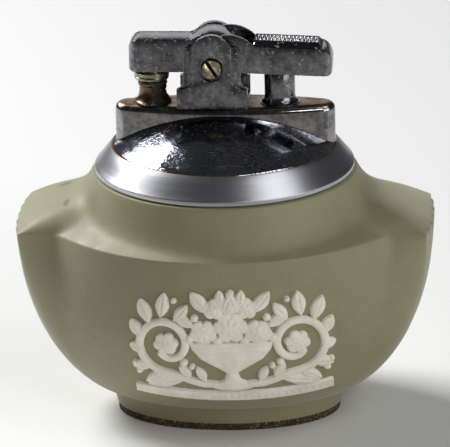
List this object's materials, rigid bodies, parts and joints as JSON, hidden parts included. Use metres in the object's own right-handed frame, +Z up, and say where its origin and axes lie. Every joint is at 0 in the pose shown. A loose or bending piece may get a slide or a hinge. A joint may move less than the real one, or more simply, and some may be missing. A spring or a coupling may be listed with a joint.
{
  "type": "table lighter",
  "caption": "Press-lever table lighter: a chromed drop-in lighter unit with thumb lever and snuffer arm in an eared stoneware jar with a white relief.",
  "frame": {"origin": "centre of the pad's underside, where the jar stands", "axes": "+Z up, +X towards the thumb lever, -Y towards the front relief"},
  "size_m": [0.0958, 0.0712, 0.091],
  "materials": {
    "stoneware": "matt",
    "bisque": "matt",
    "felt": "matt",
    "collar_metal": "satin",
    "bright_chrome": "polished",
    "worn_chrome": "worn",
    "tarnished_chrome": "tarnished",
    "sooty_brass": "sooty",
    "nickel": "worn",
    "plain_brass": "satin",
    "spring_steel": "satin",
    "tool_steel": "dark",
    "flint": "matt",
    "cotton": "fluffy",
    "seal": "matt",
    "gasket": "matt"
  },
  "bodies": {
    "jar": {"ceramic_body": "stoneware", "relief_front": "bisque", "relief_back": "bisque", "base_pad": "felt", "collar_ring": "collar_metal", "socket_liner": "plain_brass"},
    "lighter_unit": {"dome_plate": "bright_chrome", "deck": "tarnished_chrome", "fuel_tank": "plain_brass", "tank_base": "plain_brass", "cotton_packing": "cotton", "wick": "cotton", "wick_tube": "sooty_brass", "flint_tube": "plain_brass", "flint": "flint", "flint_pusher": "plain_brass", "flint_spring": "spring_steel", "front_cheek": "worn_chrome", "rear_cheek": "worn_chrome", "frame_floor": "tarnished_chrome", "frame_rivets": "nickel", "pivot_sleeve": "nickel", "pivot_screw": "nickel", "spring_post": "worn_chrome", "plunger_spring": "spring_steel"},
    "lever": {"thumb_lever": "worn_chrome", "thumb_pad": "worn_chrome"},
    "arm": {"snuffer_arm": "worn_chrome", "drive_pawl": "tool_steel", "cap_spring": "spring_steel"},
    "cap": {"snuffer_cap": "nickel", "snuffer_seal": "seal"},
    "striker": {"spark_wheel": "tool_steel", "ratchet_wheel": "tool_steel"},
    "post_plunger": {"plunger": "nickel"},
    "filler_plug": {"filler_screw": "plain_brass", "filler_gasket": "gasket"},
    "flint_plug": {"flint_screw": "plain_brass"}
  },
  "joints": [
    {"name": "insert_lift", "type": "slide", "parent": "jar", "child": "lighter_unit", "axis": [0, 0, 1], "range_m": [0, 0.045]},
    {"name": "lever_press", "type": "hinge", "parent": "lighter_unit", "child": "lever", "pos_m": [-0.0021, 0, 0.083], "axis": [0, 1, 0], "range_deg": [0, 13], "stiffness_Nm_per_rad": 0.05, "springref_deg": -28.65},
    {"name": "arm_lift", "type": "hinge", "parent": "lighter_unit", "child": "arm", "pos_m": [-0.0021, 0, 0.083], "axis": [0, 1, 0], "range_deg": [0, 39]},
    {"name": "wheel_turn", "type": "hinge", "parent": "lighter_unit", "child": "striker", "pos_m": [-0.0021, 0, 0.083], "axis": [0, 1, 0], "range_deg": [0, 39]},
    {"name": "cap_float", "type": "slide", "parent": "arm", "child": "cap", "axis": [0, 0, 1], "range_m": [0, 0.0004], "stiffness_N_per_m": 60, "springref_m": -0.002, "deforming": ["cap_spring"]},
    {"name": "plunger_travel", "type": "slide", "parent": "lighter_unit", "child": "post_plunger", "axis": [0, 0, -1], "range_m": [0, 0.0035], "deforming": ["plunger_spring"]},
    {"name": "filler_unscrew", "type": "slide", "parent": "lighter_unit", "child": "filler_plug", "axis": [0, 0, -1], "range_m": [0, 0.008]},
    {"name": "flint_unscrew", "type": "slide", "parent": "lighter_unit", "child": "flint_plug", "axis": [0, 0, -1], "range_m": [0, 0.006]}
  ],
  "couplings": [
    {"joint": "arm_lift", "follows": "lever_press", "ratio": 3},
    {"joint": "wheel_turn", "follows": "lever_press", "ratio": 3},
    {"joint": "plunger_travel", "follows": "lever_press", "m_per_rad": 0.01515}
  ]
}
